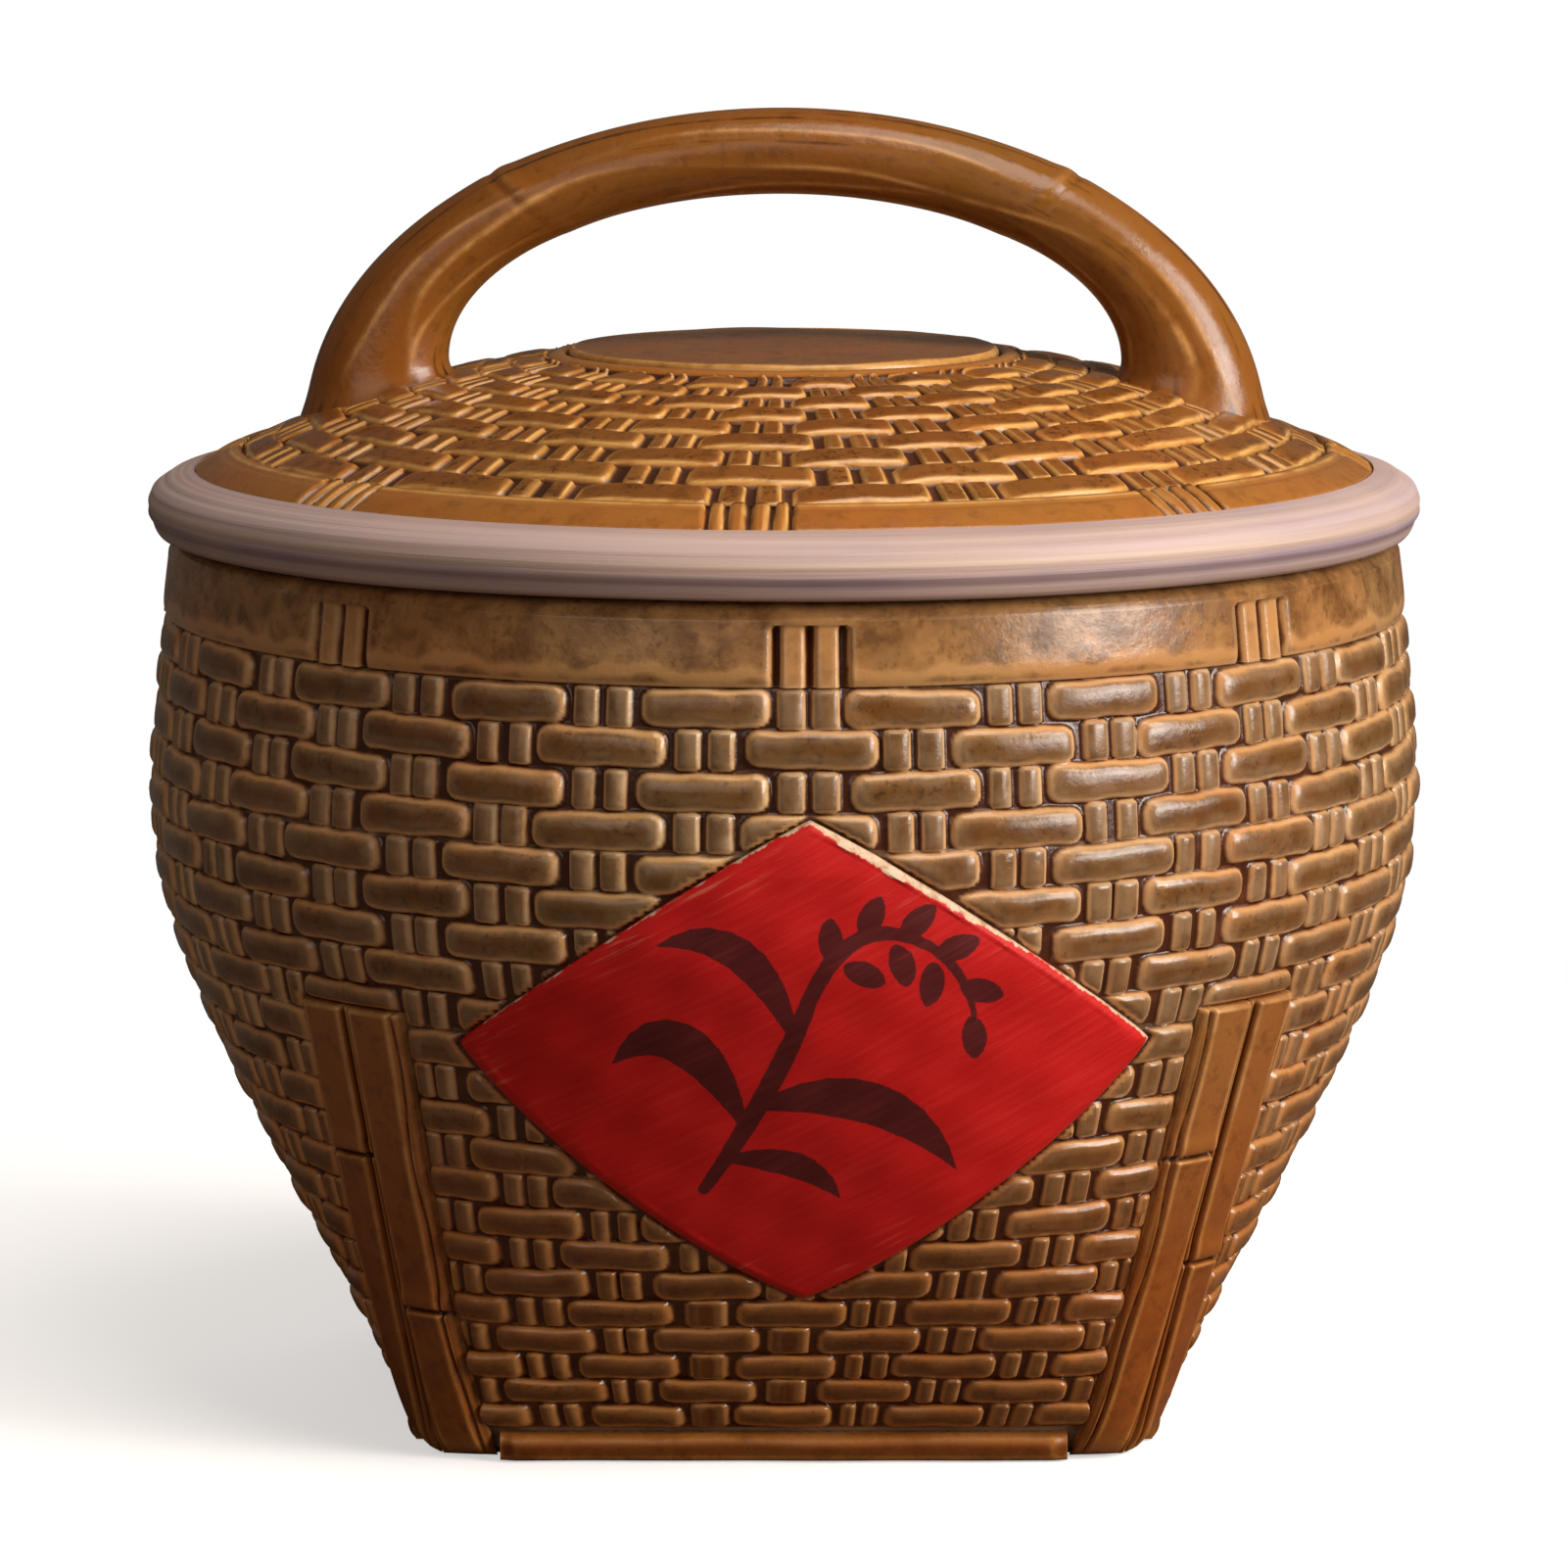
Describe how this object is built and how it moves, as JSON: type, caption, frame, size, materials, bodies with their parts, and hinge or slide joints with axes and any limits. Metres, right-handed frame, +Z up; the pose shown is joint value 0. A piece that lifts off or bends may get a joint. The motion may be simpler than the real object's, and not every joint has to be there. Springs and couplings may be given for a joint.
{
  "type": "rice storage jar",
  "caption": "Lidded stoneware rice jar moulded as a woven bamboo basket, square at the foot and round at the mouth, with a lift-off lid and arched handle.",
  "frame": {"origin": "middle of the jar's foot, on the surface it stands on", "axes": "+Z up along the jar's axis, the front with the plaque faces -Y, the handle runs along X"},
  "size_m": [0.279, 0.2801, 0.2832],
  "materials": {
    "body_glaze": "olive brown glaze, pooled dark in the hollows and pale on the edges, satin gloss",
    "trim_glaze": "amber olive glaze over moulded bamboo strips, rails and bindings",
    "foot_clay": "unglazed stoneware under the foot",
    "red_paint": "brushed red paint with a bare cream edge and a dark brushed sprig",
    "bare_clay": "bare fired clay, pale mauve pink, with fine turning lines",
    "lid_glaze": "golden brown glaze, glossy, pale gold on the edges",
    "handle_glaze": "glossy amber brown glaze with darker joints"
  },
  "bodies": {
    "jar": {"jar_wall": "body_glaze", "jar_floor": "foot_clay", "mouth_band": "body_glaze", "plaque": "red_paint", "corner_strip_front_right_front": "trim_glaze", "corner_strip_front_right_right": "trim_glaze", "corner_strip_back_right_right": "trim_glaze", "corner_strip_back_right_back": "trim_glaze", "corner_strip_back_left_back": "trim_glaze", "corner_strip_back_left_left": "trim_glaze", "corner_strip_front_left_left": "trim_glaze", "corner_strip_front_left_front": "trim_glaze", "foot_rail_front": "trim_glaze", "foot_rail_right": "trim_glaze", "foot_rail_back": "trim_glaze", "foot_rail_left": "trim_glaze", "band_binding_1": "trim_glaze", "band_binding_2": "trim_glaze", "band_binding_3": "trim_glaze", "band_binding_4": "trim_glaze", "band_binding_5": "trim_glaze", "band_binding_6": "trim_glaze", "band_binding_7": "trim_glaze", "band_binding_8": "trim_glaze"},
    "lid": {"lid_lip": "bare_clay", "lid_flange": "bare_clay", "lid_border": "lid_glaze", "lid_dome": "lid_glaze", "lid_crown": "lid_glaze", "lid_handle": "handle_glaze", "lid_binding_1": "lid_glaze", "lid_binding_2": "lid_glaze", "lid_binding_3": "lid_glaze", "lid_binding_4": "lid_glaze", "lid_binding_5": "lid_glaze", "lid_binding_6": "lid_glaze", "lid_binding_7": "lid_glaze", "lid_binding_8": "lid_glaze"}
  },
  "joints": [
    {"name": "lid_lift", "type": "slide", "parent": "jar", "child": "lid", "axis": [0, 0, 1], "range_m": [0, 0.2]}
  ]
}
